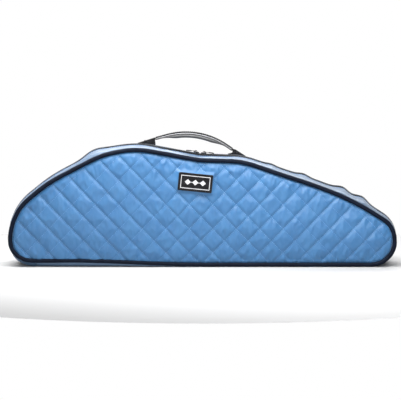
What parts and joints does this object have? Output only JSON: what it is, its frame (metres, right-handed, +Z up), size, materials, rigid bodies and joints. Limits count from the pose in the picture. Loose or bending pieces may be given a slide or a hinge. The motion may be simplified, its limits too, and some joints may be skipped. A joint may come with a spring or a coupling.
{
  "type": "padded violin case bag",
  "caption": "Padded quilted bag for a contoured violin case, with a piped edge, a zip round the top, a base hinge and a carrying handle.",
  "frame": {"origin": "on the floor under the middle of the bag", "axes": "+X to the right along the bag's length, seen from the labelled front; -Y is the front; +Z is up"},
  "size_m": [0.7872, 0.15, 0.2679],
  "materials": {
    "quilted_nylon": "quilted woven nylon with a soft sheen",
    "plain_nylon": "plain woven nylon with a soft sheen",
    "piping": "matte binding over a cord",
    "foam": "open-cell foam",
    "lining": "brushed tricot lining",
    "zip_tape": "woven polyester tape",
    "zip_coil": "moulded nylon coil",
    "zip_metal": "dark plated, satin",
    "webbing": "woven webbing",
    "handle_edge": "light reflective edge",
    "grip": "smooth synthetic leather",
    "foot_fabric": "heavy woven fabric",
    "label": "woven label, raised edge",
    "label_thread": "embroidered thread",
    "rubber": "moulded pull grip"
  },
  "bodies": {
    "bag_back": {"back_panel": "quilted_nylon", "back_foam": "foam", "back_lining": "lining", "back_piping": "piping", "back_gusset": "plain_nylon", "back_gusset_foam": "foam", "back_gusset_lining": "lining", "zip_tape_back": "zip_tape", "zip_coil_back": "zip_coil", "base_back": "plain_nylon", "base_foam_back": "foam", "base_lining_back": "lining", "base_tongue_left_back": "plain_nylon", "base_tongue_right_back": "plain_nylon", "handle_foot_left": "foot_fabric", "handle_foot_right": "foot_fabric", "zip_stop_left": "zip_metal", "zip_stop_right": "zip_metal"},
    "bag_front": {"front_panel": "quilted_nylon", "front_foam": "foam", "front_lining": "lining", "front_piping": "piping", "front_gusset": "plain_nylon", "front_gusset_foam": "foam", "front_gusset_lining": "lining", "zip_tape_front": "zip_tape", "zip_coil_front": "zip_coil", "base_front": "plain_nylon", "base_foam_front": "foam", "base_lining_front": "lining", "base_tongue_left_front": "plain_nylon", "base_tongue_right_front": "plain_nylon", "label_patch": "label", "label_frame": "label_thread", "label_diamonds": "label_thread"},
    "handle": {"handle_strap": "webbing", "handle_core": "handle_edge", "handle_grip": "grip"},
    "slider_left": {"zip_slider_left": "zip_metal"},
    "slider_right": {"zip_slider_right": "zip_metal"},
    "pull_left": {"zip_pull_left": "zip_metal", "pull_grip_left": "rubber"},
    "pull_right": {"zip_pull_right": "zip_metal", "pull_grip_right": "rubber"}
  },
  "joints": [
    {"name": "lid_hinge", "type": "hinge", "parent": "bag_back", "child": "bag_front", "pos_m": [0, 0, 0], "axis": [1, 0, 0], "range_deg": [0, 170]},
    {"name": "handle_tilt", "type": "hinge", "parent": "bag_back", "child": "handle", "pos_m": [-0.095, 0.028, 0.2538], "axis": [0.9899, 0, -0.1417], "range_deg": [-45, 40]},
    {"name": "slider_left_travel", "type": "slide", "parent": "bag_back", "child": "slider_left", "axis": [-0.9837, 0, 0.1797], "range_m": [0, 0.077]},
    {"name": "slider_right_travel", "type": "slide", "parent": "bag_back", "child": "slider_right", "axis": [0.9994, 0, -0.0349], "range_m": [0, 0.049]},
    {"name": "pull_left_swing", "type": "hinge", "parent": "slider_left", "child": "pull_left", "pos_m": [-0.01303, 0, 0.22915], "axis": [0, 1, 0], "range_deg": [0, 90]},
    {"name": "pull_right_swing", "type": "hinge", "parent": "slider_right", "child": "pull_right", "pos_m": [0.00336, 0, 0.22738], "axis": [0, -1, 0], "range_deg": [0, 90]}
  ]
}
